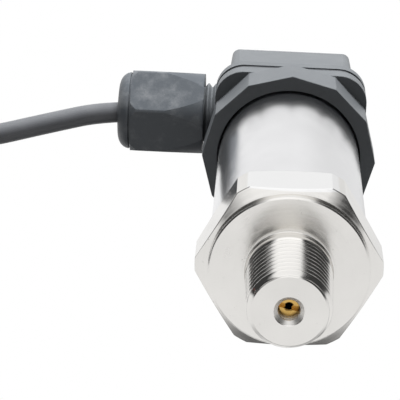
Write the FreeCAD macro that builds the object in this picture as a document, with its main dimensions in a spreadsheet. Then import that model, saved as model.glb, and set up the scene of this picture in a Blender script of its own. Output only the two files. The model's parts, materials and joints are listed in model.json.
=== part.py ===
import FreeCAD, Part
import math
import os

import Sketcher

# Pressure transmitter with a tapered pipe-thread port, a tubular steel case and a square plug
# connector with a cable gland. Millimetres, +Z up.
# The origin is the centre of the port's end face, so the port points down and the plug is on top.
# The gland points along -X.

SIZES = {
    # tapered port
    "port_length": 14.55,
    "port_chamfer": 0.92,
    "thread_tip_diameter": 13.55,
    "thread_base_diameter": 14.25,
    "thread_runout": 1.7,
    "port_neck_diameter": 14.45,
    "port_bore_diameter": 3.5,
    "port_bore_depth": 11.0,
    "port_mouth_diameter": 4.9,
    "passage_diameter": 2.2,
    # collar and hexagon
    "collar_diameter": 26.3,
    "collar_height": 1.7,
    "collar_edge": 0.25,
    "hex_flats": 27.8,
    "hex_chamfer_width": 2.25,
    "hex_height": 8.6,
    "hex_chamfer_slope": 0.38,
    "hex_turn": -1.3,
    # sensor seat above the hexagon
    "spigot_height": 11.4,
    "spigot_clearance": 0.02,
    "spigot_wall": 2.38,
    "pocket_depth": 9.5,
    # brass restrictor screw
    "restrictor_depth": 1.9,
    "restrictor_length": 5.0,
    "restrictor_clearance": 0.03,
    "restrictor_hole": 1.2,
    "restrictor_edge": 0.2,
    "restrictor_slot_width": 0.8,
    "restrictor_slot_depth": 0.9,
    "restrictor_turn": 12.0,
    # sensing cell and its seal
    "cell_clearance": 0.05,
    "cell_thickness": 5.0,
    "cell_seal_section": 1.8,
    "cell_seal_inset": 2.2,
    "retainer_width": 3.05,
    "sensor_pin_diameter": 0.6,
    "sensor_pin_inset": 2.3,
    # electronics
    "board_gap": 4.2,
    "board_clearance": 1.0,
    "board_thickness": 1.6,
    "post_diameter": 2.4,
    "post_inset": 1.5,
    "chip_length": 7.0,
    "chip_width": 5.0,
    "chip_height": 1.6,
    "chip_offset": 3.2,
    "capacitor_diameter": 3.6,
    "capacitor_height": 5.0,
    "capacitor_radius": 6.3,
    "lead_diameter": 0.8,
    # case tube
    "case_diameter": 26.5,
    "case_wall": 1.25,
    "case_length": 46.0,
    # terminal base: twelve-sided skirt, square flange and platform
    "skirt_wall": 2.29,
    "skirt_gap": 0.3,
    "skirt_drop": 3.6,
    "skirt_height": 7.6,
    "collet_wall": 1.6,
    "collet_drop": 7.5,
    "base_roof": 4.6,
    "flange_width": 29.0,
    "flange_corner": 5.5,
    "flange_height": 3.2,
    "platform_share": 0.607,
    "platform_corner": 2.0,
    "base_seal_section": 1.1,
    "base_seal_height": 2.2,
    "base_seal_clearance": 0.2,
    "insert_diameter": 4.8,
    "insert_length": 5.6,
    # blades
    "blade_width_share": 0.2172,
    "blade_thickness": 0.8,
    "blade_radius_share": 0.2414,
    "blade_rise": 6.6,
    "blade_tail": 2.2,
    "blade_clearance": 0.02,
    # gasket
    "gasket_inset": 0.2,
    "gasket_thickness": 1.3,
    "gasket_clearance": 0.15,
    # plug housing
    "rim_height": 2.2,
    "shoulder_height": 2.0,
    "block_share": 0.843,
    "block_corner": 2.0,
    "block_top_share": 0.817,
    "block_top_corner": 1.5,
    "block_height": 15.0,
    "block_edge": 0.6,
    "cavity_share": 0.69,
    "cavity_corner": 2.4,
    "ceiling": 2.6,
    "screw_boss_diameter": 10.4,
    "screw_boss_drop": 3.0,
    # terminal insert and contacts
    "carrier_clearance": 0.1,
    "carrier_height": 9.4,
    "carrier_floor": 1.4,
    "contact_inner_share": 0.1362,
    "contact_outer_share": 0.288,
    "contact_width_share": 0.238,
    "contact_height": 6.6,
    "clamp_screw_diameter": 2.0,
    "clamp_screw_share": 0.1776,
    "clamp_screw_length": 4.4,
    "clamp_head_diameter": 2.3,
    "clamp_head_height": 1.5,
    # central fixing screw
    "screw_diameter": 3.0,
    "screw_clearance": 0.2,
    "screw_head_diameter": 6.2,
    "screw_head_height": 2.3,
    "screw_recess_diameter": 7.0,
    "screw_recess_depth": 2.6,
    "screw_slot_width": 0.9,
    "screw_slot_depth": 1.1,
    "screw_seal_thickness": 0.8,
    "screw_reach": 4.6,
    # cable gland along -X
    "gland_height": 11.9,
    "stub_thread_diameter": 12.4,
    "stub_root_diameter": 11.0,
    "stub_reach": 24.0,
    "stub_bore_diameter": 5.2,
    "seal_depth": 4.0,
    "seal_diameter": 9.0,
    "seal_proud": 2.0,
    "seal_clearance": 0.05,
    "seal_taper": 0.6,
    "clamp_washer_thickness": 1.0,
    "clamp_washer_diameter": 11.0,
    "nut_start": 17.0,
    "nut_length": 14.5,
    "nut_flats": 16.0,
    "nut_end_diameter": 16.2,
    "nut_cone_diameter": 18.2,
    "nut_cone_length": 7.5,
    "nut_left_diameter": 17.0,
    "nut_left_chamfer": 1.2,
    "nut_turn": 19.0,
    "dome_diameter": 15.4,
    "dome_length": 2.6,
    "dome_face_diameter": 11.4,
    "dome_curve": 2.7,
    "dome_groove": 0.35,
    "nut_mouth_diameter": 5.8,
    "nut_thread_clearance": 0.03,
    "thread_pitch": 1.5,
    "thread_flat_share": 0.08,
    "neck_root": 0.2,
    # cable
    "cable_diameter": 4.1,
    "core_diameter": 1.0,
    "core_offset": 0.8,
    "core_side": 2.4,
    "core_strip": 14.0,
    "core_spread": 0.16,
    "coil_radius": 22.0,
    "coil_section": 12.9,
    "coil_x": -80.6,
    "coil_y": -1.8,
    "coil_drop": 62.6,
    "tie_width": 7.0,
    "tie_thickness": 1.0,
    "tie_turn": 52.0,
    "ferrule_diameter": 1.6,
    "ferrule_length": 8.0,
    "ferrule_collar_diameter": 2.3,
    "ferrule_collar_length": 2.6,
}

# The cable's route from inside the gland to the coil, and from the coil to its stripped end.
# The last number of a point is its height from the gland's axis.
CABLE_ROUTE = [
    (-21.0, 0.0, 0.0),
    (-35.5, 0.0, 0.0),
    (-48.7, 1.4, -6.9),
    (-60.0, 2.5, -13.7),
    (-69.8, 0.8, -21.2),
    (-76.9, -4.8, -29.1),
    (-80.4, -12.2, -37.0),
    (-80.6, -20.6, -44.5),
]
TAIL_ROUTE = [
    (-83.75, -23.8, -74.3),
    (-84.5, -19.3, -83.2),
    (-85.1, -16.6, -93.3),
    (-85.3, -16.1, -103.4),
]
# Slopes of the plug's rounded top edge at its sections, in degrees.
EDGE_TURNS = (30, 60, 90)
# Thread ridges that show on the gland's neck, and how far a cut runs past the surface it opens.
NECK_RIDGES = 3
OVERCUT = 1.0

doc = FreeCAD.newDocument("pressure_transmitter")
sheet = doc.addObject("Spreadsheet::Sheet", "Sizes")
for row, (alias, number) in enumerate(SIZES.items(), start=1):
    sheet.set(f"A{row}", alias.replace("_", " "))
    sheet.set(f"B{row}", str(number))
    sheet.setAlias(f"B{row}", alias)
doc.recompute()


class Size:
    """A length in millimetres, with the spreadsheet expression that gives it."""

    def __init__(self, number, text):
        self.number = float(number)
        self.text = text

    def __add__(self, other):
        other = as_size(other)
        return Size(self.number + other.number, f"({self.text} + {other.text})")

    def __radd__(self, other):
        return as_size(other) + self

    def __sub__(self, other):
        other = as_size(other)
        return Size(self.number - other.number, f"({self.text} - {other.text})")

    def __rsub__(self, other):
        return as_size(other) - self

    def __mul__(self, other):
        other = as_size(other)
        return Size(self.number * other.number, f"({self.text} * {other.text})")

    def __rmul__(self, other):
        return as_size(other) * self

    def __truediv__(self, other):
        other = as_size(other)
        return Size(self.number / other.number, f"({self.text} / {other.text})")

    def __neg__(self):
        return Size(-self.number, f"(0 - {self.text})")


def as_size(value):
    if isinstance(value, Size):
        return value
    return Size(value, f"({float(value):.9g})")


class Sheet:
    """The spreadsheet's cells by name, each as a Size."""

    def __getattr__(self, alias):
        return Size(SIZES[alias], f"Sizes.{alias}")


S = Sheet()
ZERO = as_size(0)
HALF = 0.5
SUBPARTS = []


def new_body(label):
    body = doc.addObject("PartDesign::Body", label)
    body.Label = label
    SUBPARTS.append(body)
    return body


def sketch_on(body, role, right=ZERO, up=ZERO, out=ZERO):
    """A sketch on one of the body's origin planes, shifted in its own plane and along its normal."""
    sketch = body.newObject("Sketcher::SketchObject", f"{body.Name}_sketch")
    plane = [feature for feature in body.Origin.OriginFeatures if feature.Role == role][0]
    sketch.AttachmentSupport = [(plane, "")]
    sketch.MapMode = "FlatFace"
    for axis, shift in (("x", right), ("y", up), ("z", out)):
        if shift is not ZERO:
            sketch.setExpression(f"AttachmentOffset.Base.{axis}", shift.text)
    return sketch


def bind(sketch, constraint, size):
    number = sketch.addConstraint(constraint)
    sketch.setExpression(f"Constraints[{number}]", size.text)


def arc_between(start, end, radius):
    """The arc of that radius from start to end, turning left for a positive radius."""
    middle = (start + end) * HALF
    chord = end - start
    side = FreeCAD.Vector(-chord.y, chord.x, 0).normalize()
    reach = math.sqrt(max(radius * radius - chord.Length * chord.Length / 4, 0))
    bulge = 1 if radius > 0 else -1
    centre = middle + side * reach * bulge
    peak = centre - side * abs(radius) * bulge
    return Part.Arc(start, peak, end)


def outline(sketch, points, bends=None):
    """A closed outline through the points, each placed from the sketch's origin by the sheet.

    bends gives the radius of the side that starts at a point: positive turns left, negative right.
    """
    bends = bends or {}
    spots = [(as_size(x), as_size(y)) for x, y in points]
    corners = [FreeCAD.Vector(x.number, y.number, 0) for x, y in spots]
    sides = []
    for index, corner in enumerate(corners):
        following = corners[(index + 1) % len(corners)]
        if index in bends:
            shape = arc_between(corner, following, bends[index].number)
        else:
            shape = Part.LineSegment(corner, following)
        sides.append(sketch.addGeometry(shape, False))
    ends = []
    for index, side in enumerate(sides):
        backwards = index in bends and bends[index].number < 0
        ends.append((side, 2, 1) if backwards else (side, 1, 2))
    for index, (side, first, last) in enumerate(ends):
        next_side, next_first, next_last = ends[(index + 1) % len(ends)]
        sketch.addConstraint(Sketcher.Constraint("Coincident", side, last, next_side, next_first))
        x, y = spots[index]
        bind(sketch, Sketcher.Constraint("DistanceX", -1, 1, side, first, x.number), x)
        bind(sketch, Sketcher.Constraint("DistanceY", -1, 1, side, first, y.number), y)
        if index in bends:
            radius = bends[index] if bends[index].number > 0 else -bends[index]
            bind(sketch, Sketcher.Constraint("Radius", side, radius.number), radius)


def circle(sketch, radius, x=ZERO, y=ZERO):
    centre = FreeCAD.Vector(x.number, y.number, 0)
    normal = FreeCAD.Vector(0, 0, 1)
    ring = sketch.addGeometry(Part.Circle(centre, normal, radius.number), False)
    bind(sketch, Sketcher.Constraint("Radius", ring, radius.number), radius)
    bind(sketch, Sketcher.Constraint("DistanceX", -1, 1, ring, 3, x.number), x)
    bind(sketch, Sketcher.Constraint("DistanceY", -1, 1, ring, 3, y.number), y)


def rectangle(sketch, left, right, low, high):
    outline(sketch, [(left, low), (right, low), (right, high), (left, high)])


def rounded_square(sketch, width, corner):
    """A square centred on the sketch's origin with round corners."""
    reach = width * HALF
    flat = reach - corner
    points = [
        (flat, -reach), (reach, -flat), (reach, flat), (flat, reach),
        (-flat, reach), (-reach, flat), (-reach, -flat), (-flat, -reach),
    ]
    outline(sketch, points, {0: corner, 2: corner, 4: corner, 6: corner})


def regular_polygon(sketch, corners, corner_radius, turn):
    """A regular polygon centred on the sketch's origin, its first corner at turn degrees."""
    points = []
    for index in range(corners):
        angle = math.radians(turn + 360 * index / corners)
        points.append((corner_radius * math.cos(angle), corner_radius * math.sin(angle)))
    outline(sketch, points)


def revolve(body, sketch, axis, cut=False):
    kind = "PartDesign::Groove" if cut else "PartDesign::Revolution"
    feature = body.newObject(kind, f"{body.Name}_turned")
    feature.Profile = sketch
    feature.ReferenceAxis = (sketch, [axis])
    feature.Angle = 360
    return feature


def extrude(body, sketch, length, cut=False, reverse=False):
    kind = "PartDesign::Pocket" if cut else "PartDesign::Pad"
    feature = body.newObject(kind, f"{body.Name}_cut" if cut else f"{body.Name}_pad")
    feature.Profile = sketch
    feature.setExpression("Length", length.text)
    feature.Reversed = reverse
    return feature


def turned(label, points, bends=None, height=None):
    """A body turned from an outline of radii and heights about Z, or about the gland's axis."""
    body = new_body(label)
    if height is None:
        sketch = sketch_on(body, "XZ_Plane")
        axis = "V_Axis"
    else:
        sketch = sketch_on(body, "XZ_Plane", up=height)
        axis = "H_Axis"
    outline(sketch, points, bends)
    revolve(body, sketch, axis)
    return body


def ring_cut(body, role, out, corners, corner_radius, turn, length, up=ZERO):
    """Flats milled on a turned body: what lies outside a regular polygon is cut away."""
    sketch = sketch_on(body, role, up=up, out=out)
    circle(sketch, corner_radius * 2)
    regular_polygon(sketch, corners, corner_radius, turn)
    return extrude(body, sketch, length, cut=True, reverse=True)


def around(body, feature, count, angle=360.0):
    """Repeats a feature about Z."""
    pattern = body.newObject("PartDesign::PolarPattern", f"{body.Name}_pattern")
    pattern.Originals = [feature]
    axis = [item for item in body.Origin.OriginFeatures if item.Role == "Z_Axis"][0]
    pattern.Axis = (axis, [""])
    pattern.Angle = angle
    pattern.Occurrences = count
    body.Tip = pattern
    return pattern


def solids_node(label, shape):
    """A sub-part whose shape is worked out from the sheet's sizes."""
    node = doc.addObject("Part::Feature", label)
    node.Label = label
    node.Shape = shape
    SUBPARTS.append(node)
    return node


def ring_node(label, centre_radius, section, height):
    """An O-ring about Z, from a bound torus."""
    ring = doc.addObject("Part::Torus", label)
    ring.Label = label
    ring.setExpression("Radius1", centre_radius.text)
    ring.setExpression("Radius2", (section * HALF).text)
    ring.setExpression("Placement.Base.z", height.text)
    SUBPARTS.append(ring)
    return ring


# Widths that follow the case and the flange.
case_bore = S.case_diameter * HALF - S.case_wall
spigot_radius = case_bore - S.spigot_clearance
pocket_radius = spigot_radius - S.spigot_wall
retainer_bore = pocket_radius - S.cell_clearance - S.retainer_width
skirt_bore = S.case_diameter * HALF + S.skirt_gap
skirt_corner = (skirt_bore + S.skirt_wall) / math.cos(math.radians(15))
platform_width = S.flange_width * S.platform_share
block_width = S.flange_width * S.block_share
block_top_width = S.flange_width * S.block_top_share
cavity_width = S.flange_width * S.cavity_share
blade_width = S.flange_width * S.blade_width_share
blade_radius = S.flange_width * S.blade_radius_share
contact_inner = S.flange_width * S.contact_inner_share
contact_outer = S.flange_width * S.contact_outer_share
contact_width = S.flange_width * S.contact_width_share
clamp_screw_radius = S.flange_width * S.clamp_screw_share
# Heights of the stack, from the port's end face upwards.
collar_bottom = S.port_length
hex_bottom = collar_bottom + S.collar_height
hex_top = hex_bottom + S.hex_height
spigot_top = hex_top + S.spigot_height
pocket_floor = spigot_top - S.pocket_depth
cell_bottom = pocket_floor + S.cell_seal_section
cell_top = cell_bottom + S.cell_thickness
board_bottom = spigot_top + S.board_gap
board_top = board_bottom + S.board_thickness
case_top = hex_top + S.case_length
skirt_bottom = case_top - S.skirt_drop
flange_bottom = skirt_bottom + S.skirt_height
flange_top = flange_bottom + S.flange_height
platform_top = flange_top + S.gasket_thickness
rim_bottom = platform_top
rim_top = rim_bottom + S.rim_height
block_bottom = rim_top + S.shoulder_height
block_top = block_bottom + S.block_height
cavity_top = block_top - S.ceiling
gland_axis = rim_bottom + S.gland_height
screw_seat = block_top - S.screw_recess_depth
screw_head_bottom = screw_seat + S.screw_seal_thickness
screw_head_top = screw_head_bottom + S.screw_head_height
roof_bottom = flange_top - S.base_roof
contact_bottom = rim_bottom + S.carrier_floor
contact_top = contact_bottom + S.contact_height
seal_end = S.stub_reach + S.seal_proud
washer_end = seal_end + S.clamp_washer_thickness
coil_height = gland_axis - S.coil_drop


def process_fitting():
    """Port, collar, hexagon and sensor seat, turned from one hexagonal bar."""
    tip = S.thread_tip_diameter * HALF
    face = tip - S.port_chamfer
    neck = S.port_neck_diameter * HALF
    collar = S.collar_diameter * HALF
    turned_radius = collar + S.hex_chamfer_width
    rise = S.hex_chamfer_width * S.hex_chamfer_slope
    thread_end = S.port_length - S.thread_runout
    bore = S.port_bore_diameter * HALF
    mouth = S.port_mouth_diameter * HALF
    passage = S.passage_diameter * HALF
    points = [
        (mouth, ZERO),
        (face, ZERO),
        (tip, S.port_chamfer),
        (S.thread_base_diameter * HALF, thread_end),
        (neck, thread_end),
        (neck, collar_bottom),
        (collar - S.collar_edge, collar_bottom),
        (collar, collar_bottom + S.collar_edge),
        (collar, hex_bottom),
        (turned_radius, hex_bottom + rise),
        (turned_radius, hex_top - rise),
        (collar, hex_top),
        (spigot_radius, hex_top),
        (spigot_radius, spigot_top),
        (pocket_radius, spigot_top),
        (pocket_radius, pocket_floor),
        (passage, pocket_floor),
        (passage, S.port_bore_depth + (bore - passage)),
        (bore, S.port_bore_depth),
        (bore, mouth - bore),
    ]
    body = turned("process_fitting", points)
    corner_radius = S.hex_flats * HALF / math.cos(math.radians(30))
    ring_cut(body, "XY_Plane", hex_bottom, 6, corner_radius, 0, S.hex_height)
    body.setExpression("Placement.Rotation.Angle", "Sizes.hex_turn")
    return body


def restrictor_screw():
    """Slotted brass screw in the port's bore with a small hole through it."""
    radius = S.port_bore_diameter * HALF - S.restrictor_clearance
    top = S.restrictor_depth + S.restrictor_length
    hole = S.restrictor_hole * HALF
    edge = S.restrictor_edge
    body = turned("restrictor_screw", [
        (hole + edge, S.restrictor_depth),
        (radius - edge, S.restrictor_depth),
        (radius, S.restrictor_depth + edge),
        (radius, top),
        (hole, top),
        (hole, S.restrictor_depth + edge),
    ])
    slot = sketch_on(body, "XY_Plane", out=S.restrictor_depth)
    across = S.restrictor_slot_width * HALF
    rectangle(slot, -radius - OVERCUT, radius + OVERCUT, -across, across)
    extrude(body, slot, S.restrictor_slot_depth, cut=True, reverse=True)
    body.setExpression("Placement.Rotation.Angle", "Sizes.restrictor_turn")
    return body


def sensor_seal():
    """O-ring between the pocket's floor and the sensing cell."""
    centre_radius = pocket_radius - S.cell_seal_inset
    ring_node("sensor_seal", centre_radius, S.cell_seal_section, pocket_floor + S.cell_seal_section * HALF)


def sensor_cell():
    """Ceramic disc that carries the gauges."""
    radius = pocket_radius - S.cell_clearance
    turned("sensor_cell", [(ZERO, cell_bottom), (radius, cell_bottom), (radius, cell_top), (ZERO, cell_top)])


def retaining_ring():
    """Threaded ring that presses the cell on its seal."""
    outer = pocket_radius - S.cell_clearance
    inner = retainer_bore
    turned("retaining_ring", [(inner, cell_top), (outer, cell_top), (outer, spigot_top), (inner, spigot_top)])


def rods(label, radius, ring, count, low, high, angle=360.0, start=0.0):
    """Equal upright rods on a circle about Z, from one height to another."""
    body = new_body(label)
    sketch = sketch_on(body, "XY_Plane", out=low)
    turn = math.radians(start)
    circle(sketch, radius, x=ring * math.cos(turn), y=ring * math.sin(turn))
    rod = extrude(body, sketch, high - low)
    around(body, rod, count, angle)
    return body


def circuit_board():
    """Round board on its posts."""
    body = new_body("circuit_board")
    sketch = sketch_on(body, "XY_Plane", out=board_bottom)
    circle(sketch, case_bore - S.board_clearance)
    extrude(body, sketch, S.board_thickness)


def board_chip():
    """Signal amplifier on top of the board."""
    body = new_body("board_chip")
    sketch = sketch_on(body, "XY_Plane", out=board_top)
    across = S.chip_length * HALF
    near = S.chip_offset - S.chip_width * HALF
    rectangle(sketch, -across, across, near, near + S.chip_width)
    extrude(body, sketch, S.chip_height)


def case_tube():
    """Tubular case from the hexagon up into the terminal base."""
    outer = S.case_diameter * HALF
    turned("case_tube", [(case_bore, hex_top), (outer, hex_top), (outer, case_top), (case_bore, case_top)])


def terminal_base():
    """Twelve-sided skirt over the case's end, square flange, platform and collet in one moulding."""
    collet_bore = spigot_radius - S.collet_wall
    collet_bottom = case_top - S.collet_drop
    groove_low = collet_bottom + S.base_seal_height
    groove_high = groove_low + S.base_seal_section + S.base_seal_clearance
    groove = case_bore - S.base_seal_section
    points = [
        (ZERO, roof_bottom),
        (collet_bore, roof_bottom),
        (collet_bore, collet_bottom),
        (spigot_radius, collet_bottom),
        (spigot_radius, groove_low),
        (groove, groove_low),
        (groove, groove_high),
        (spigot_radius, groove_high),
        (spigot_radius, case_top),
        (skirt_bore, case_top),
        (skirt_bore, skirt_bottom),
        (skirt_corner + OVERCUT, skirt_bottom),
        (skirt_corner + OVERCUT, flange_bottom),
        (ZERO, flange_bottom),
    ]
    body = turned("terminal_base", points)
    ring_cut(body, "XY_Plane", skirt_bottom, 12, skirt_corner, 0, S.skirt_height)
    flange = sketch_on(body, "XY_Plane", out=flange_bottom)
    rounded_square(flange, S.flange_width, S.flange_corner)
    extrude(body, flange, S.flange_height)
    platform = sketch_on(body, "XY_Plane", out=flange_top)
    rounded_square(platform, platform_width, S.platform_corner)
    extrude(body, platform, S.gasket_thickness)
    bore = sketch_on(body, "XY_Plane", out=platform_top)
    circle(bore, S.insert_diameter * HALF)
    extrude(body, bore, S.insert_length, cut=True)
    slot = sketch_on(body, "XY_Plane", out=platform_top)
    blade_outline(slot)
    cut = extrude(body, slot, platform_top - roof_bottom, cut=True)
    around(body, cut, 4)


def blade_outline(sketch, clearance=ZERO):
    """The section of the blade on the -Y side."""
    across = blade_width * HALF + clearance
    near = blade_radius - S.blade_thickness * HALF - clearance
    far = blade_radius + S.blade_thickness * HALF + clearance
    rectangle(sketch, -across, across, -far, -near)


def base_seal():
    """O-ring in the collet's groove."""
    section = S.base_seal_section
    groove_low = case_top - S.collet_drop + S.base_seal_height
    height = groove_low + (section + S.base_seal_clearance) * HALF
    ring_node("base_seal", case_bore - section * HALF, section, height)


def screw_insert():
    """Brass threaded insert in the middle of the terminal base."""
    inner = S.screw_diameter * HALF
    outer = S.insert_diameter * HALF
    low = platform_top - S.insert_length
    turned("screw_insert", [(inner, low), (outer, low), (outer, platform_top), (inner, platform_top)])


def blades():
    """Three contact blades and, on the gland's side, the earth blade."""
    low = roof_bottom - S.blade_tail
    rise = platform_top + S.blade_rise - low
    body = new_body("contact_blades")
    sketch = sketch_on(body, "XY_Plane", out=low)
    blade_outline(sketch)
    around(body, extrude(body, sketch, rise), 3, 180.0)
    earth = new_body("earth_blade")
    sketch = sketch_on(earth, "XY_Plane", out=low)
    across = blade_width * HALF
    near = blade_radius - S.blade_thickness * HALF
    rectangle(sketch, -near - S.blade_thickness, -near, -across, across)
    extrude(earth, sketch, rise)


def flat_gasket():
    """Square gasket round the platform."""
    body = new_body("flat_gasket")
    sketch = sketch_on(body, "XY_Plane", out=flange_top)
    rounded_square(sketch, S.flange_width - S.gasket_inset * 2, S.flange_corner)
    rounded_square(sketch, platform_width + S.gasket_clearance * 2, S.platform_corner)
    extrude(body, sketch, S.gasket_thickness)


def plug_housing():
    """Moulded plug: square rim, sloping shoulder, tapered block and the gland's threaded neck."""
    body = new_body("plug_housing")
    edge = S.block_edge
    stations = [
        (rim_bottom, S.flange_width, S.flange_corner),
        (rim_top, S.flange_width, S.flange_corner),
        (block_bottom, block_width, S.block_corner),
        (block_top - edge, block_top_width, S.block_top_corner),
    ]
    for turn in EDGE_TURNS:
        inset = edge * (1 - math.cos(math.radians(turn)))
        rise = edge * math.sin(math.radians(turn))
        stations.append((block_top - edge + rise, block_top_width - inset * 2, S.block_top_corner - inset))
    sections = []
    for height, width, corner in stations:
        section = sketch_on(body, "XY_Plane", out=height)
        rounded_square(section, width, corner)
        sections.append(section)
    loft = body.newObject("PartDesign::AdditiveLoft", "plug_housing_loft")
    loft.Profile = sections[0]
    loft.Sections = sections[1:]
    loft.Ruled = True
    cavity = sketch_on(body, "XY_Plane", out=rim_bottom)
    rounded_square(cavity, cavity_width, S.cavity_corner)
    extrude(body, cavity, cavity_top - rim_bottom, cut=True, reverse=True)
    boss = sketch_on(body, "XY_Plane", out=cavity_top)
    circle(boss, S.screw_boss_diameter * HALF)
    extrude(body, boss, S.screw_boss_drop, reverse=True)
    hole = S.screw_diameter * HALF + S.screw_clearance
    recess = S.screw_recess_diameter * HALF
    drilled = sketch_on(body, "XZ_Plane")
    outline(drilled, [
        (ZERO, cavity_top - S.screw_boss_drop - OVERCUT),
        (hole, cavity_top - S.screw_boss_drop - OVERCUT),
        (hole, screw_seat),
        (recess, screw_seat),
        (recess, block_top + OVERCUT),
        (ZERO, block_top + OVERCUT),
    ])
    revolve(body, drilled, "V_Axis", cut=True)
    neck = sketch_on(body, "XZ_Plane", up=gland_axis)
    outline(neck, neck_points())
    revolve(body, neck, "H_Axis")
    bore = S.stub_bore_diameter * HALF
    seat = S.seal_diameter * HALF + S.seal_clearance
    seat_end = S.stub_reach - S.seal_depth
    inside = cavity_width * HALF - OVERCUT
    bored = sketch_on(body, "XZ_Plane", up=gland_axis)
    outline(bored, [
        (-S.stub_reach - OVERCUT, ZERO),
        (-S.stub_reach - OVERCUT, seat),
        (-seat_end, seat),
        (-seat_end, bore),
        (-inside, bore),
        (-inside, ZERO),
    ])
    revolve(body, bored, "H_Axis", cut=True)


def neck_points():
    """Section of the neck: thread ridges where it shows, and a plain crest under the nut."""
    crest = S.stub_thread_diameter * HALF
    root = S.stub_root_diameter * HALF
    pitch = S.thread_pitch
    seat = S.seal_diameter * HALF + S.seal_clearance
    flat = pitch * S.thread_flat_share
    inside = cavity_width * HALF + S.neck_root
    points = [(-inside, seat), (-S.stub_reach, seat), (-S.stub_reach, crest)]
    shoulder = S.nut_start + pitch * HALF
    points.append((-shoulder, crest))
    for ridge in range(NECK_RIDGES):
        valley = shoulder - pitch * (ridge + HALF)
        points.append((-valley - flat, root))
        points.append((-valley + flat, root))
        top = valley - pitch * HALF
        points.append((-top - flat, crest))
        points.append((-top + flat, crest))
    points.append((-inside, crest))
    return points


def contact_carrier():
    """Insulating block inside the plug with a pocket and a blade slot for each contact."""
    body = new_body("contact_carrier")
    block = sketch_on(body, "XY_Plane", out=rim_bottom)
    rounded_square(block, cavity_width - S.carrier_clearance * 2, S.cavity_corner)
    extrude(body, block, S.carrier_height)
    hole = sketch_on(body, "XY_Plane", out=rim_bottom)
    circle(hole, S.screw_diameter * HALF + S.screw_clearance)
    extrude(body, hole, S.carrier_height, cut=True, reverse=True)
    pocket = sketch_on(body, "XY_Plane", out=rim_bottom + S.carrier_floor)
    contact_outline(pocket)
    pocket_cut = extrude(body, pocket, S.carrier_height - S.carrier_floor, cut=True, reverse=True)
    slot = sketch_on(body, "XY_Plane", out=rim_bottom)
    blade_outline(slot, S.carrier_clearance)
    slot_cut = extrude(body, slot, S.carrier_floor, cut=True, reverse=True)
    pattern = around(body, pocket_cut, 4)
    pattern.Originals = [pocket_cut, slot_cut]


def contact_outline(sketch):
    """The section of the clamp contact on the -Y side."""
    across = contact_width * HALF
    rectangle(sketch, -across, across, -contact_outer, -contact_inner)


def clamp_contacts():
    """Four brass clamps, each with a blade slot and a threaded hole."""
    body = new_body("clamp_contacts")
    sketch = sketch_on(body, "XY_Plane", out=contact_bottom)
    contact_outline(sketch)
    blade_outline(sketch, S.blade_clearance)
    circle(sketch, S.clamp_screw_diameter * HALF, y=-clamp_screw_radius)
    around(body, extrude(body, sketch, S.contact_height), 4)


def clamp_screws():
    """The four wire-clamping screws."""
    body = new_body("clamp_screws")
    sketch = sketch_on(body, "XY_Plane", out=contact_top)
    circle(sketch, S.clamp_screw_diameter * HALF, y=-clamp_screw_radius)
    shank = extrude(body, sketch, S.clamp_screw_length, reverse=True)
    sketch = sketch_on(body, "XY_Plane", out=contact_top)
    circle(sketch, S.clamp_head_diameter * HALF, y=-clamp_screw_radius)
    head = extrude(body, sketch, S.clamp_head_height)
    pattern = around(body, shank, 4)
    pattern.Originals = [shank, head]


def fixing_screw():
    """Long slotted screw that holds the plug on the terminal base."""
    shank = S.screw_diameter * HALF
    head = S.screw_head_diameter * HALF
    points = [
        (ZERO, platform_top - S.screw_reach),
        (shank, platform_top - S.screw_reach),
        (shank, screw_head_bottom),
        (head, screw_head_bottom),
        (head, screw_head_top),
        (ZERO, screw_head_top),
    ]
    body = turned("fixing_screw", points)
    slot = sketch_on(body, "XY_Plane", out=screw_head_top)
    across = S.screw_slot_width * HALF
    rectangle(slot, -head - OVERCUT, head + OVERCUT, -across, across)
    extrude(body, slot, S.screw_slot_depth, cut=True)


def screw_seal():
    """Rubber ring under the fixing screw's head."""
    inner = S.screw_diameter * HALF
    outer = S.screw_head_diameter * HALF
    turned("screw_seal", [
        (inner, screw_seat), (outer, screw_seat), (outer, screw_head_bottom), (inner, screw_head_bottom),
    ])


def gland_seal():
    """Rubber sleeve round the cable in the neck's mouth."""
    inner = S.cable_diameter * HALF
    outer = S.seal_diameter * HALF
    deep = S.stub_reach - S.seal_depth
    turned("gland_seal", [
        (-seal_end, inner),
        (-seal_end, outer - S.seal_taper),
        (-S.stub_reach, outer),
        (-deep, outer),
        (-deep, inner),
    ], height=gland_axis)


def clamp_washer():
    """Washer between the seal and the nut."""
    inner = S.nut_mouth_diameter * HALF
    outer = S.clamp_washer_diameter * HALF
    turned("clamp_washer", [
        (-washer_end, inner), (-washer_end, outer), (-seal_end, outer), (-seal_end, inner),
    ], height=gland_axis)


def gland_nut():
    """Gland nut: six long flats that fade into a cone towards the plug, and a domed cap."""
    bore = S.stub_thread_diameter * HALF + S.nut_thread_clearance
    mouth = S.nut_mouth_diameter * HALF
    hex_end = S.nut_start + S.nut_length
    tip = hex_end + S.dome_length
    cone = S.nut_cone_diameter * HALF
    dome = S.dome_diameter * HALF
    points = [
        (-S.nut_start, bore),
        (-S.nut_start, S.nut_end_diameter * HALF),
        (-S.nut_start - S.nut_cone_length, cone),
        (-hex_end + S.nut_left_chamfer, cone),
        (-hex_end, S.nut_left_diameter * HALF),
        (-hex_end, dome - S.dome_groove),
        (-hex_end - S.dome_groove, dome - S.dome_groove),
        (-hex_end - S.dome_groove, dome),
        (-tip, S.dome_face_diameter * HALF),
        (-tip, mouth),
        (-washer_end, mouth),
        (-washer_end, bore),
    ]
    body = turned("gland_nut", points, {7: S.dome_curve}, height=gland_axis)
    corner_radius = S.nut_flats * HALF / math.cos(math.radians(30))
    turn = 30 - S.nut_turn.number
    ring_cut(body, "YZ_Plane", -hex_end, 6, corner_radius, turn, S.nut_length, up=gland_axis)


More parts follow.
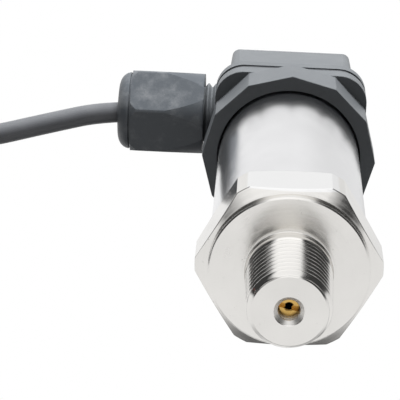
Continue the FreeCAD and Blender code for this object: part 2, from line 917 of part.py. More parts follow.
def tangent_path(points, share=0.45):
    """Straight runs joined by arcs that touch both runs, and the radii of the arcs."""
    spots = [FreeCAD.Vector(*point) for point in points]
    edges = []
    radii = []
    start = spots[0]
    for before, corner, after in zip(spots, spots[1:], spots[2:]):
        inward = (before - corner).normalize()
        outward = (after - corner).normalize()
        half_turn = (math.pi - inward.getAngle(outward)) / 2
        reach = share * min((before - corner).Length, (after - corner).Length)
        radius = reach / math.tan(half_turn)
        first = corner + inward * reach
        last = corner + outward * reach
        bisector = (inward + outward).normalize()
        middle = corner + bisector * (radius / math.cos(half_turn) - radius)
        edges.append(Part.LineSegment(start, first).toShape())
        edges.append(Part.Arc(first, middle, last).toShape())
        radii.append(round(radius, 1))
        start = last
    edges.append(Part.LineSegment(start, spots[-1]).toShape())
    return Part.Wire(edges), radii


def tube_along(points, diameter, label):
    """A round solid along the route, with its volume held against section times length."""
    path, radii = tangent_path(points)
    start = FreeCAD.Vector(*points[0])
    heading = FreeCAD.Vector(*points[1]) - start
    section = Part.Wire([Part.makeCircle(diameter.number / 2, start, heading)])
    solid = path.makePipeShell([section], True, False)
    expected = math.pi * diameter.number ** 2 / 4 * path.Length
    print(f"{label}: length {path.Length:.1f} mm, radii {radii}, volume ratio {solid.Volume / expected:.4f}")
    return solid


def at_gland(route):
    """A route with its heights counted from the gland's axis."""
    return [(x, y, gland_axis.number + z) for x, y, z in route]


def coil_place():
    """The coil lies in a plane across X, round a point beside the plug."""
    centre = FreeCAD.Vector(S.coil_x.number, S.coil_y.number, coil_height.number)
    return centre, FreeCAD.Vector(1, 0, 0)


def inner_cores():
    """Three insulated cores from the sheath's end to the clamps."""
    clamp = clamp_screw_radius.number
    side = S.core_side.number
    offset = S.core_offset.number
    drop = contact_top.number - gland_axis.number
    start = CABLE_ROUTE[0][0]
    routes = [
        [(start, offset, -0.5), (-11.5, 0.9, -0.7), (-5.2, 3.6, -1.2), (-side, clamp, -1.9),
         (-side, clamp, drop)],
        [(start, -offset, -0.5), (-11.5, -0.9, -0.7), (-5.2, -3.6, -1.2), (-side, -clamp, -1.9),
         (-side, -clamp, drop)],
        [(start, 0.0, 0.85), (-11.5, 0.2, 0.9), (-3.4, 2.8, 1.1), (2.8, 3.0, 0.9), (clamp, side, -0.8),
         (clamp, side, drop)],
    ]
    cores = [tube_along(at_gland(route), S.core_diameter, "inner core") for route in routes]
    solids_node("inner_cores", Part.makeCompound(cores))


def cable():
    """Sheathed cable from the gland down to the coil."""
    centre, axis = coil_place()
    coil = Part.makeTorus(S.coil_radius.number, S.coil_section.number / 2, centre, axis)
    tube = tube_along(at_gland(CABLE_ROUTE), S.cable_diameter, "cable")
    solids_node("cable", tube.cut(coil))
    tail = tube_along(at_gland(TAIL_ROUTE), S.cable_diameter, "cable tail")
    return solids_node("cable_tail", tail.cut(coil))


def cable_coil():
    """Outer shape of the coiled length."""
    coil = doc.addObject("Part::Torus", "cable_coil")
    coil.Label = "cable_coil"
    coil.setExpression("Radius1", S.coil_radius.text)
    coil.setExpression("Radius2", (S.coil_section * HALF).text)
    coil.Placement = FreeCAD.Placement(FreeCAD.Vector(), FreeCAD.Rotation(FreeCAD.Vector(0, 1, 0), 90))
    for axis, place in (("x", S.coil_x), ("y", S.coil_y), ("z", coil_height)):
        coil.setExpression(f"Placement.Base.{axis}", place.text)
    SUBPARTS.append(coil)


def coil_tie():
    """Strap round the coil's turns near the top."""
    centre, axis = coil_place()
    inner = S.coil_section.number / 2
    outer = inner + S.tie_thickness.number
    sweep = math.degrees(S.tie_width.number / S.coil_radius.number)
    strap = Part.makeTorus(S.coil_radius.number, outer, centre, axis, 0, 360, sweep)
    core = Part.makeTorus(S.coil_radius.number, inner, centre, axis)
    strap = strap.cut(core)
    strap.rotate(centre, axis, S.tie_turn.number - sweep / 2)
    solids_node("coil_tie", strap)


def stripped_end(tail):
    """Three cores out of the sheath's end, each with a crimped ferrule."""
    before, end = [FreeCAD.Vector(*point) for point in at_gland(TAIL_ROUTE)[-2:]]
    heading = (end - before).normalize()
    sideways = FreeCAD.Vector(1, 0, 0)
    across = heading.cross(sideways)
    core_radius = S.core_diameter.number / 2
    strip = S.core_strip.number
    cores = []
    ferrules = []
    for index in range(3):
        turn = math.radians(120 * index + 30)
        offset = sideways * math.cos(turn) + across * math.sin(turn)
        spread = (heading + offset * S.core_spread.number).normalize()
        start = end + offset * S.core_offset.number - heading * core_radius
        core = Part.makeCylinder(core_radius, strip, start, spread)
        cores.append(core.cut(tail.Shape))
        crimp = start + spread * strip
        collar_length = S.ferrule_collar_length.number
        collar = Part.makeCylinder(S.ferrule_collar_diameter.number / 2, collar_length, crimp, spread)
        tip = crimp + spread * collar_length
        barrel = Part.makeCylinder(S.ferrule_diameter.number / 2, S.ferrule_length.number, tip, spread)
        ferrules.append(collar.fuse(barrel))
    solids_node("tail_cores", Part.makeCompound(cores))
    solids_node("ferrules", Part.makeCompound(ferrules))


process_fitting()
restrictor_screw()
sensor_seal()
sensor_cell()
retaining_ring()
rods("sensor_pins", S.sensor_pin_diameter * HALF, retainer_bore - S.sensor_pin_inset, 4, cell_top,
     board_bottom)
rods("board_posts", S.post_diameter * HALF, pocket_radius - S.post_inset, 3, spigot_top, board_bottom,
     start=45.0)
circuit_board()
board_chip()
rods("board_capacitors", S.capacitor_diameter * HALF, S.capacitor_radius, 2, board_top,
     board_top + S.capacitor_height, angle=90.0, start=225.0)
rods("lead_wires", S.lead_diameter * HALF, blade_radius, 4, board_top, roof_bottom - S.blade_tail)
case_tube()
terminal_base()
base_seal()
screw_insert()
blades()
flat_gasket()
plug_housing()
contact_carrier()
clamp_contacts()
clamp_screws()
fixing_screw()
screw_seal()
gland_seal()
clamp_washer()
gland_nut()
inner_cores()
tail = cable()
cable_coil()
coil_tie()
stripped_end(tail)
doc.recompute()

for thing in doc.Objects:
    failed = {"Invalid", "Error"} & set(thing.State)
    if failed:
        raise RuntimeError(f"{thing.Label} is {failed}")
os.makedirs("parts", exist_ok=True)
for node in SUBPARTS:
    shape = node.Shape
    if shape.isNull() or not shape.isValid():
        raise RuntimeError(f"{node.Label} has no valid shape")
    print(f"{node.Label}: {len(shape.Solids)} solids, {shape.Volume:.2f} mm3")
    shape.exportStep(f"parts/{node.Label}.step")
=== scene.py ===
import json
import math

import bmesh
import bpy
import numpy as np
from bpy.props import FloatProperty, FloatVectorProperty, PointerProperty
from mathutils import Matrix, Vector


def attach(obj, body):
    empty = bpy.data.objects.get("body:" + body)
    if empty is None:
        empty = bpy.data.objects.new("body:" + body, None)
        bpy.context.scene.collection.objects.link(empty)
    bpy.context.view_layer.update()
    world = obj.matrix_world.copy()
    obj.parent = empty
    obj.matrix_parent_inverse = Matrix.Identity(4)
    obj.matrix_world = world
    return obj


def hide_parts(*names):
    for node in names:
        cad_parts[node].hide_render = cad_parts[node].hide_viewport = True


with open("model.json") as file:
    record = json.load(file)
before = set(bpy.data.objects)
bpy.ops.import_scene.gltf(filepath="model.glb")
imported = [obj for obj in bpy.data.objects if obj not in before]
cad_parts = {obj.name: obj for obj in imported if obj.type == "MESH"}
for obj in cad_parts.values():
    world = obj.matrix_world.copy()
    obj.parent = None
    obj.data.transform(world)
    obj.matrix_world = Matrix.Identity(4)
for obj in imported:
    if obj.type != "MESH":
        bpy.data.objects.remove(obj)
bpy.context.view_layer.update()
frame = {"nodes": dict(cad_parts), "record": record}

bl_info = {
    "name": "Pressure transmitter",
    "version": (1, 0, 0),
    "blender": (4, 5, 0),
    "location": "3D View > Sidebar > Transmitter",
    "description": "Builds the visible pieces, finishes and stage of a pressure transmitter",
    "category": "Object",
}

# The row frame is in metres: the port's end face is at the origin, the plug is up +Z and the gland
# along -X. Heights and radii below are in millimetres, as in the part's own sheet, and MM scales
# them. Angles are in degrees.
MM = 0.001
# The port and its thread. The thread's rows run from THREAD_START to THREAD_STOP, and its cut fades
# out from FADE_BEFORE below THREAD_END to FADE_AFTER above it.
PORT_LENGTH = 14.55
PORT_CHAMFER = 0.92
THREAD_START = 0.10
THREAD_END = 12.85
THREAD_STOP = 13.75
THREAD_PITCH = 1.337
THREAD_DEPTH = 0.8
THREAD_STEPS = 16
FADE_BEFORE = 1.2
FADE_AFTER = 0.35
FLAT_SHARE = 0.11
TIP_RADIUS = 6.775
BASE_RADIUS = 7.125
NECK_RADIUS = 7.225
NECK_START = 13.85
# The port's bore, its own fine thread and the passage to the sensor.
MOUTH_RADIUS = 2.45
MOUTH_DEPTH = 0.7
BORE_RADIUS = 1.75
BORE_END = 11.0
BORE_RELIEF = 3.0
BORE_THREAD_TOP = 2.8
BORE_THREAD_FOOT = 0.95
BORE_PITCH = 0.7
BORE_THREAD_DEPTH = 0.22
BORE_THREAD_STEPS = 8
PASSAGE_RADIUS = 1.1
PASSAGE_START = 11.65
# The collar, the hexagon and the spigot that holds the sensor.
COLLAR_RADIUS = 13.15
COLLAR_EDGE = 0.25
HEX_BOTTOM = 16.25
HEX_TOP = 24.85
HEX_APOTHEM = 13.9
HEX_TURNED = 15.4
HEX_SLOPE = 0.38
HEX_TURN = -1.3
HEX_COLUMNS = 40
SPIGOT_RADIUS = 11.98
SPIGOT_TOP = 36.25
POCKET_RADIUS = 9.6
POCKET_FLOOR = 26.75
# The case tube.
CASE_RADIUS = 13.25
CASE_BORE = 12.0
CASE_TOP = 70.85
CASE_COLUMNS = 192
# The gland's nut and domed cap, by their reach from the plug's middle.
GLAND_AXIS = 91.25
NUT_START = 17.0
NUT_END = 31.5
NUT_APOTHEM = 8.0
NUT_TURN = 11.0
NUT_CONE = 9.1
NUT_CONE_SLOPE = 7.5
NUT_FOOT = 8.1
NUT_FACE = 8.5
NUT_CHAMFER_SLOPE = 2.0
NUT_THREAD_RADIUS = 6.23
NUT_SHELF = 27.0
NUT_COLUMNS = 22
GROOVE_RADIUS = 7.35
GROOVE_WIDTH = 0.35
DOME_ROOT = 5.0
DOME_BULGE = 2.7
DOME_RISE = 2.25
DOME_TURN = 78.0
DOME_ROWS = 9
DOME_TIP = 34.1
EYE_RADIUS = 3.1
EYE_EDGE = 3.4
EYE_DEPTH = 0.4
# The lead: its route to the coil, the coil, and its route to the stripped end.
CABLE_RADIUS = 2.05
COIL_CENTRE = (-80.6, -1.8, 28.65)
COIL_RADIUS = 22.0
CABLE_ROUTE = [
    (-21.0, 0.0, 91.25),
    (-35.5, 0.0, 91.25),
    (-48.7, 1.4, 84.35),
    (-60.0, 2.5, 77.55),
    (-69.8, 0.8, 70.05),
    (-76.9, -4.8, 62.15),
    (-80.4, -12.2, 54.25),
    (-80.6, -20.6, 46.75),
]
TAIL_ROUTE = [
    (-83.75, -23.8, 16.95),
    (-84.5, -19.3, 8.05),
    (-85.1, -16.6, -2.05),
    (-85.3, -16.1, -12.15),
]
WINDING_START = 136.0
WINDING_TURNS = 5.2
WINDING_OFFSET = 4.25
STRAND_STEP = 60.0
POINTS_PER_TURN = 16
STRAP_PLACE = 52.0
STRAP_HALF_WIDTH = 3.5
STRAP_INNER = 6.5
STRAP_OUTER = 7.3
STRAP_WAVES = 0.02
STRAP_COLUMNS = 72
STRAP_ROWS = 6
# Rounding of a profile's corners: how many rows, how much of a side it may take at most, and the
# distance of the row beside it. Then the columns beside a hexagon's edges, in degrees.
CURVE_ROWS = 5
CURVE_LIMIT = 0.4
SUPPORT = 0.05
SUPPORT_LIMIT = 0.45
TINY = 1e-9
EDGE_WIDE = 0.9
EDGE_CLOSE = 0.18
# Softened copies of the CAD's nodes. Lengths from here on are in metres. The two shares are those
# of the mouldings' edge that the gasket and the plug's screw have.
MERGE_DISTANCE = 0.000002
FLAT_ANGLE = 0.6
SHARP_ANGLE = 28.0
RESTRICTOR_EDGE = 0.00006
CORE_EDGE = 0.00008
GASKET_SHARE = 0.8
SCREW_SHARE = 0.5
# Marks in the finishes: pits, dust, and the painted light on the hexagon's flat that faces the
# light.
PIT_COLOUR = (0.20, 0.19, 0.17, 1.0)
DUST_COLOUR = (0.22, 0.22, 0.21, 1.0)
PAINTED_LIGHT_COLOUR = (0.87, 0.87, 0.87, 1.0)
# The camera, the lamp and the floor.
VIEW_PLACE = (-0.00672, -0.11634, -0.2452)
VIEW_LENS = 158.33
VIEW_RIGHT = (0.99841, -0.03427, 0.04479)
VIEW_UP = (-0.04848, -0.92735, 0.37104)
VIEW_AHEAD = (-0.02882, 0.37262, 0.92753)
KEY_PLACE = (0.0, -0.55, 0.22)
KEY_TARGET = (0.0, 0.0, 0.08)
KEY_SIZE = 0.36
FLOOR_REACH = 12.0
FLOOR_HEIGHT = -0.8
FLOOR_COLOUR = (0.82, 0.82, 0.81)
FLOOR_GLOW = 0.75
# The studio that shows in reflections: the levels of its parts.
TABLE_LEVEL = 0.96
SHADE_LEVEL = 0.15
WINDOW_LEVEL = 1.10
TOP_LEVEL = 1.25
BACK_LEVEL = 0.98
DARK_LEVEL = 0.05
RIGHT_FALL = 0.12
EDGE_FALL = 0.25
# Where its parts begin and end, as parts of a direction of length 1.
HORIZON = (-0.06, 0.06)
SHADE_BELOW = (0.70, 0.90)
TOP_ABOVE = (0.6, 0.9)
BACK_BEYOND = (0.1, 0.5)
DARK_LEFT = (0.33, 0.58)
DARK_RIGHT = (0.32, 0.44)
FALL_RIGHT = (0.05, 0.35)
EDGE_BELOW = (0.22, 0.42)
EDGE_RIGHT = (0.0, 0.1)


class Value:
    """A shader socket on which Python's operators add Math nodes."""

    def __init__(self, shader, socket):
        self.shader = shader
        self.socket = socket

    def _with(self, operation, *others):
        return self.shader.math(operation, self, *others)

    def __add__(self, other):
        return self._with("ADD", other)

    __radd__ = __add__

    def __sub__(self, other):
        return self._with("SUBTRACT", other)

    def __rsub__(self, other):
        return self.shader.math("SUBTRACT", other, self)

    def __mul__(self, other):
        return self._with("MULTIPLY", other)

    __rmul__ = __mul__

    def __pow__(self, other):
        return self._with("POWER", other)

    def ramp(self, low, high):
        """0 at low and 1 at high, clamped, whichever is larger."""
        return self.shader.add("ShaderNodeMapRange", {"clamp": True}, {0: self, 1: low, 2: high})

    def ease(self, low, high):
        """0 at low and 1 at high with no kink at either end."""
        smooth = {"interpolation_type": "SMOOTHSTEP"}
        return self.shader.add("ShaderNodeMapRange", smooth, {0: self, 1: low, 2: high})


class Shader:
    """One material's or world's nodes. Textures read Object coordinates, the row frame's metres."""

    def __init__(self, owner):
        owner.use_nodes = True
        self.owner = owner
        self.tree = owner.node_tree
        self.tree.nodes.clear()
        self.place = self.add("ShaderNodeTexCoord", output="Object")

    def add(self, kind, settings=None, sockets=None, output=0):
        """A node with its settings and its sockets' values or links: one output as a Value."""
        node = self.tree.nodes.new(kind)
        for key, setting in (settings or {}).items():
            setattr(node, key, setting)
        for key, value in (sockets or {}).items():
            if isinstance(value, Value):
                self.tree.links.new(value.socket, node.inputs[key])
            else:
                node.inputs[key].default_value = value
        return Value(self, node.outputs[output])

    def math(self, operation, *values):
        """One Math node's result."""
        return self.add("ShaderNodeMath", {"operation": operation}, dict(enumerate(values)))

    def vector(self, x, y, z):
        """A vector from its three parts."""
        return self.add("ShaderNodeCombineXYZ", None, {0: x, 1: y, 2: z})

    def split(self, vector):
        """The three parts of a vector."""
        kind = "ShaderNodeSeparateXYZ"
        return [self.add(kind, None, {0: vector}, output=axis) for axis in range(3)]

    def noise(self, scale, detail=2.0, at=None, rough=0.5):
        """Noise from 0 to 1 at the surface's place, or at another vector."""
        sockets = {"Vector": at or self.place, "Scale": scale, "Detail": detail, "Roughness": rough}
        return self.add("ShaderNodeTexNoise", None, sockets)

    def blend(self, factor, first, second):
        """The first colour where the factor is 0, the second where it is 1."""
        node = self.tree.nodes.new("ShaderNodeMix")
        node.data_type = "RGBA"
        for key, value in (("Factor_Float", factor), ("A_Color", first), ("B_Color", second)):
            socket = next(item for item in node.inputs if item.identifier == key)
            if isinstance(value, Value):
                self.tree.links.new(value.socket, socket)
            else:
                socket.default_value = value
        result = next(item for item in node.outputs if item.identifier == "Result_Color")
        return Value(self, result)

    def bump(self, height, depth):
        """A Bump node whose height runs from 0 to depth metres."""
        sockets = {"Strength": 1.0, "Distance": depth, "Height": height}
        return self.add("ShaderNodeBump", None, sockets)

    def finish(self, **sockets):
        """Ends the material in a Principled BSDF with these inputs."""
        named = {key.replace("_", " "): value for key, value in sockets.items()}
        surface = self.add("ShaderNodeBsdfPrincipled", None, named)
        output = self.tree.nodes.new("ShaderNodeOutputMaterial")
        self.tree.links.new(surface.socket, output.inputs["Surface"])
        return self.owner


def finish_name(slot):
    """The name of a slot's finish, unlike the names that the loaded frame brings along."""
    return f"transmitter {slot}"


def new_shader(name):
    """The nodes of a new finish of this name."""
    return Shader(bpy.data.materials.new(finish_name(name)))


def opaque(colour):
    """The colour with full alpha."""
    return (*colour[:3], 1.0)


def shaded(colour, factor):
    """The colour times a factor, with full alpha."""
    return tuple(channel * factor for channel in colour[:3]) + (1.0,)


def turned_steel(name, colour, roughness, lines, smudge):
    """Machined steel: lines round Z on every turned face, smudges, small pits and a drift of tone.

    The port is glossier than the rest, the hexagon a little glossier, the bore duller, and the
    hexagon's flat towards -Y, the side the light falls on, is painted lighter: painted light.
    """
    shader = new_shader(name)
    x, y, z = shader.split(shader.place)
    from_axis = (x * x + y * y) ** 0.5 * (1 / MM)
    above_port = z * (1 / MM)
    turned = shader.vector(from_axis, above_port, 0.0)
    fine = shader.noise(3.4, 3.0, turned)
    coarse = shader.noise(0.55, 2.0, turned)
    cloud = shader.noise(70.0, 4.0)
    film = shader.noise(210.0, 5.0, rough=0.65)
    pits = shader.noise(1900.0, 1.0).ramp(0.76, 0.81)
    base = shader.blend(cloud.ramp(0.35, 0.7), opaque(colour), shaded(colour, 0.93))
    base = shader.blend(pits * 0.4, base, PIT_COLOUR)
    port = from_axis.ramp(NECK_RADIUS + 0.175, NECK_RADIUS + 0.075) * above_port.ramp(0.1, 0.3)
    bore = from_axis.ramp(MOUTH_RADIUS - 0.05, MOUTH_RADIUS - 0.15)
    hexagon = from_axis.ramp(COLLAR_RADIUS + 0.15, COLLAR_RADIUS + 0.35)
    # Painted light: the hexagon's flat towards -Y, which faces the light, is painted a paler
    # colour.
    painted_light_flat = (y * (-1 / MM)).ramp(HEX_APOTHEM - 0.5, HEX_APOTHEM - 0.3)
    base = shader.blend(painted_light_flat, base, PAINTED_LIGHT_COLOUR)
    rough = roughness + (fine - 0.5) * lines + film.ramp(0.45, 0.7) * smudge
    rough = rough - port * 0.08 - hexagon * 0.07 + bore * 0.30
    relief = fine * 0.7 + coarse * 0.3 - pits * 0.5
    normal = shader.bump(relief, 0.0000015)
    return shader.finish(Base_Color=base, Metallic=1.0, Roughness=rough, Normal=normal)


def moulded(name, colour, roughness, grain, scuffs, sheen):
    """Moulded plastic: fine spark-eroded grain, cloudy gloss and pale scuffs."""
    shader = new_shader(name)
    fine = shader.noise(5200.0, 2.0)
    broad = shader.noise(160.0, 4.0)
    worn = shader.noise(95.0, 6.0, rough=0.7).ease(0.46, 0.76)
    dust = shader.noise(2600.0, 0.0).ramp(0.82, 0.88)
    pale = opaque([channel + scuffs for channel in colour])
    base = shader.blend(worn, opaque(colour), pale)
    base = shader.blend(dust * 0.3, base, DUST_COLOUR)
    rough = roughness + (broad - 0.5) * 0.16 + worn * 0.06
    normal = shader.bump(fine, grain)
    return shader.finish(Base_Color=base, Roughness=rough, Normal=normal, Specular_IOR_Level=sheen)


def plain_metal(name, colour, roughness):
    """Small metal parts: fine scratches and a drift of tone."""
    shader = new_shader(name)
    x, y, z = shader.split(shader.place)
    scratch = shader.noise(900.0, 3.0, shader.vector(x * 0.25, y, z * 0.25))
    tone = shader.noise(380.0, 3.0)
    base = shader.blend(tone.ramp(0.35, 0.65), opaque(colour), shaded(colour, 0.8))
    rough = roughness + (scratch - 0.5) * 0.22
    normal = shader.bump(scratch, 0.00001)
    return shader.finish(Base_Color=base, Metallic=1.0, Roughness=rough, Normal=normal)


def plain_solid(name, colour, roughness, scale=900.0, depth=0.00002):
    """Ceramic, laminate, rubber and insulation: a fine uneven skin and a drift of tone."""
    shader = new_shader(name)
    skin = shader.noise(scale, 3.0)
    tone = shader.noise(scale * 0.15, 2.0)
    base = shader.blend(tone.ramp(0.35, 0.65), opaque(colour), shaded(colour, 0.82))
    rough = roughness + (skin - 0.5) * 0.15
    normal = shader.bump(skin, depth)
    return shader.finish(Base_Color=base, Roughness=rough, Normal=normal)


def woven_strap(name, colour):
    """Hook-and-loop strap: a close weave of threads along and across it."""
    shader = new_shader(name)
    x, y, z = shader.split(shader.place)
    along = shader.math("SINE", x * 9000.0)
    across = shader.math("SINE", (y + z) * 7000.0)
    fuzz = shader.noise(4000.0, 3.0)
    height = (along * across) * 0.25 + 0.5 + fuzz * 0.5
    base = shader.blend(fuzz.ramp(0.3, 0.7), opaque(colour), shaded(colour, 1.8))
    normal = shader.bump(height, 0.00012)
    return shader.finish(Base_Color=base, Roughness=0.85, Normal=normal)


class TransmitterFinish(bpy.types.PropertyGroup):
    """Colours and gloss of the pieces."""

    steel: FloatVectorProperty(
        name="Steel", description="Machined steel of the fitting and the case",
        default=(0.80, 0.785, 0.76), subtype="COLOR", min=0.0, max=1.0,
    )
    steel_roughness: FloatProperty(
        name="Steel roughness", description="Roughness of the machined steel",
        default=0.20, min=0.05, max=1.0, subtype="FACTOR",
    )
    case: FloatVectorProperty(
        name="Case steel", description="Satin steel of the case tube",
        default=(0.84, 0.84, 0.85), subtype="COLOR", min=0.0, max=1.0,
    )
    plastic: FloatVectorProperty(
        name="Plug plastic", description="Black plastic of the plug and its base",
        default=(0.098, 0.105, 0.112), subtype="COLOR", min=0.0, max=1.0,
    )
    gland: FloatVectorProperty(
        name="Gland plastic", description="Dark grey plastic of the gland's nut",
        default=(0.066, 0.074, 0.084), subtype="COLOR", min=0.0, max=1.0,
    )
    sheath: FloatVectorProperty(
        name="Cable sheath", description="Dark grey sheath of the cable",
        default=(0.098, 0.102, 0.110), subtype="COLOR", min=0.0, max=1.0,
    )
    brass: FloatVectorProperty(
        name="Brass", description="Brass of the restrictor screw",
        default=(0.66, 0.42, 0.13), subtype="COLOR", min=0.0, max=1.0,
    )


class TransmitterSizes(bpy.types.PropertyGroup):
    """Small sizes that only the looks have."""

    edge: FloatProperty(
        name="Moulding edge", description="Rounding of the plastic's edges",
        default=0.00025, min=0.0, max=0.001, unit="LENGTH", precision=5,
    )
    thread_depth: FloatProperty(
        name="Thread depth", description="Depth of the port's thread",
        default=THREAD_DEPTH * MM, min=0.0, max=0.0015, unit="LENGTH", precision=5,
    )


class TransmitterStage(bpy.types.PropertyGroup):
    """Light round the object."""

    key_power: FloatProperty(
        name="Key light", description="Power of the large lamp above the picture",
        default=9.6, min=0.0, unit="POWER",
    )
    room: FloatProperty(
        name="Room light", description="Light of the white room on matt faces",
        default=0.16, min=0.0, max=2.0, subtype="FACTOR",
    )


def build_materials(finish):
    """The record's material slots by name, each from its recipe and that recipe's values."""
    recipes = {
        "stainless_steel": (turned_steel, tuple(finish.steel), finish.steel_roughness, 0.16, 0.08),
        "case_steel": (turned_steel, tuple(finish.case), finish.steel_roughness, 0.05, 0.05),
        "black_plastic": (moulded, tuple(finish.plastic), 0.40, 0.00002, 0.018, 0.15),
        "grey_plastic": (plain_solid, (0.20, 0.20, 0.21), 0.5),
        "gland_plastic": (moulded, tuple(finish.gland), 0.46, 0.00002, 0.12, 0.45),
        "brass": (plain_metal, tuple(finish.brass), 0.22),
        "tinned_metal": (plain_metal, (0.72, 0.72, 0.70), 0.30),
        "zinc_steel": (plain_metal, (0.66, 0.66, 0.64), 0.33),
        "seal_rubber": (plain_solid, (0.060, 0.063, 0.068), 0.62),
        "ceramic": (plain_solid, (0.82, 0.80, 0.74), 0.4),
        "board_laminate": (plain_solid, (0.03, 0.16, 0.07), 0.4),
        "component_black": (plain_solid, (0.02, 0.02, 0.022), 0.45),
        "cable_sheath": (moulded, tuple(finish.sheath), 0.42, 0.00003, 0.022, 0.50),
        "core_insulation": (plain_solid, (0.30, 0.05, 0.03), 0.4),
        "tie_strap": (woven_strap, (0.012, 0.012, 0.013)),
        "ferrule_metal": (plain_metal, (0.74, 0.74, 0.72), 0.28),
    }
    return {slot: recipe(slot, *values) for slot, (recipe, *values) in recipes.items()}


def material(slot):
    """The slot's finish, which is made with all the others if it isn't there yet."""
    found = bpy.data.materials.get(finish_name(slot))
    if found is None:
        found = build_materials(bpy.context.scene.transmitter_finish)[slot]
    return found


def closed_surface(name, x, y, z, slot):
    """A closed piece from a grid of points in millimetres that joins itself along both directions.

    Row i and column j give the point (x, y, z)[i, j]. The sign of the enclosed volume says whether
    the faces have to be turned to point outwards.
    """
    rows, columns = x.shape
    spots = np.stack([x, y, z], axis=-1).reshape(-1, 3) * MM
    row, column = np.meshgrid(np.arange(rows), np.arange(columns), indexing="ij")
    next_row = (row + 1) % rows
    next_column = (column + 1) % columns
    quads = np.stack(
        [row * columns + column, row * columns + next_column,
         next_row * columns + next_column, next_row * columns + column], axis=-1,
    ).reshape(-1, 4)
    first, second, third = spots[quads[:, 0]], spots[quads[:, 1]], spots[quads[:, 2]]
    fourth = spots[quads[:, 3]]
    volume = np.einsum("ij,ij->i", first, np.cross(second, third)).sum()
    volume += np.einsum("ij,ij->i", first, np.cross(third, fourth)).sum()
    if volume < 0:
        quads = quads[:, ::-1]
    mesh = bpy.data.meshes.new(name)
    mesh.vertices.add(len(spots))
    mesh.vertices.foreach_set("co", spots.ravel())
    mesh.loops.add(quads.size)
    mesh.loops.foreach_set("vertex_index", np.ascontiguousarray(quads, dtype=np.int32).ravel())
    mesh.polygons.add(len(quads))
    mesh.polygons.foreach_set("loop_start", np.arange(0, quads.size, 4, dtype=np.int32))
    mesh.update(calc_edges=True)
    mesh.validate()
    mesh.shade_smooth()
    return placed(name, mesh, slot)


def placed(name, mesh, slot):
    """The mesh as a piece at the origin that rides on the root body and takes the slot's finish."""
    piece = bpy.data.objects.new(name, mesh)
    bpy.context.scene.collection.objects.link(piece)
    mesh.materials.clear()
    mesh.materials.append(material(slot))
    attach(piece, "root")
    return piece


def quadratic(start, corner, end, share):
    """The point at a share of the way along the quadratic curve that a corner pulls."""
    return start * (1 - share) ** 2 + corner * 2 * share * (1 - share) + end * share ** 2


def toward(spot, target, distance, limit):
    """The spot moved towards the target by a distance, but at most by a share of the way."""
    step = target - spot
    way = np.linalg.norm(step, axis=-1, keepdims=True)
    return spot + step * (np.minimum(distance, way * limit) / np.maximum(way, TINY))


def profile_rows(columns, outline):
    """Rows of radii and heights of a closed outline whose corners are rounded.

    Each corner is (radius, height, rounding), where radius and height are numbers or arrays over
    the columns. A corner with rounding d is replaced by the quadratic curve between the spots d
    before and d after it, with one more row on each side at a small distance, so that the flats
    beside it stay flat in shading. A corner with rounding None stays one row.
    """
    spots = [np.stack([np.full(columns, part) for part in corner[:2]], -1) for corner in outline]
    shares = np.linspace(0.0, 1.0, CURVE_ROWS)
    rows = []
    for index, (spot, (_, _, rounding)) in enumerate(zip(spots, outline)):
        if rounding is None:
            rows.append(spot)
            continue
        before = spots[index - 1]
        after = spots[(index + 1) % len(spots)]
        start = toward(spot, before, rounding, CURVE_LIMIT)
        end = toward(spot, after, rounding, CURVE_LIMIT)
        rows.append(toward(spot, before, rounding + SUPPORT, SUPPORT_LIMIT))
        rows.extend(quadratic(start, spot, end, share) for share in shares)
        rows.append(toward(spot, after, rounding + SUPPORT, SUPPORT_LIMIT))
    stacked = np.stack(rows)
    return stacked[..., 0], stacked[..., 1]


def six_sided_columns(turn, strip, count):
    """Angles round a hexagonal bar, in radians, close together beside each corner's turned strip.

    turn is a corner's angle and strip half the width of the turned strip left at a corner, in
    degrees. count is the number of columns on a flat between those near its edges.
    """
    angles = []
    near = np.array([-EDGE_WIDE, -EDGE_CLOSE, EDGE_CLOSE, EDGE_WIDE])
    for corner in range(6):
        middle = turn + 60.0 * corner
        before = middle - strip + near
        after = middle + strip + near
        last = middle + 60.0 - strip - EDGE_WIDE
        flat = np.linspace(middle + strip + EDGE_WIDE, last, count + 2)[1:-1]
        angles.extend([*before, middle, *after, *flat])
    return np.radians(np.array(angles))


def hexagon_radius(angles, turn, apothem):
    """Distance from the axis to the flats of a hexagon with a corner at turn degrees."""
    from_flat = np.mod(angles - math.radians(turn), math.pi / 3) - math.pi / 6
    return apothem / np.cos(from_flat)


def around_z(name, angles, radius, height, slot):
    """A turned piece about Z: x = radius cos(angle), y = radius sin(angle), z = height."""
    return closed_surface(name, radius * np.cos(angles), radius * np.sin(angles), height, slot)


def along_gland(name, angles, radius, reach, slot):
    """A turned piece about the gland's axis: reach runs along -X from the plug's middle."""
    z = GLAND_AXIS + radius * np.sin(angles)
    return closed_surface(name, -reach, radius * np.cos(angles), z, slot)


def smooth_step(value, low, high):
    """0 at low and 1 at high with no kink at either end."""
    share = np.clip((value - low) / (high - low), 0.0, 1.0)
    return share * share * (3 - 2 * share)


def thread_wave(phase):
    """0 on a thread's flat crest and 1 in its root, with straight flanks between."""
    from_middle = np.abs(2 * np.mod(phase, 1.0) - 1)
    return np.clip((1 - from_middle) * (1 + 2 * FLAT_SHARE) - FLAT_SHARE, 0.0, 1.0)


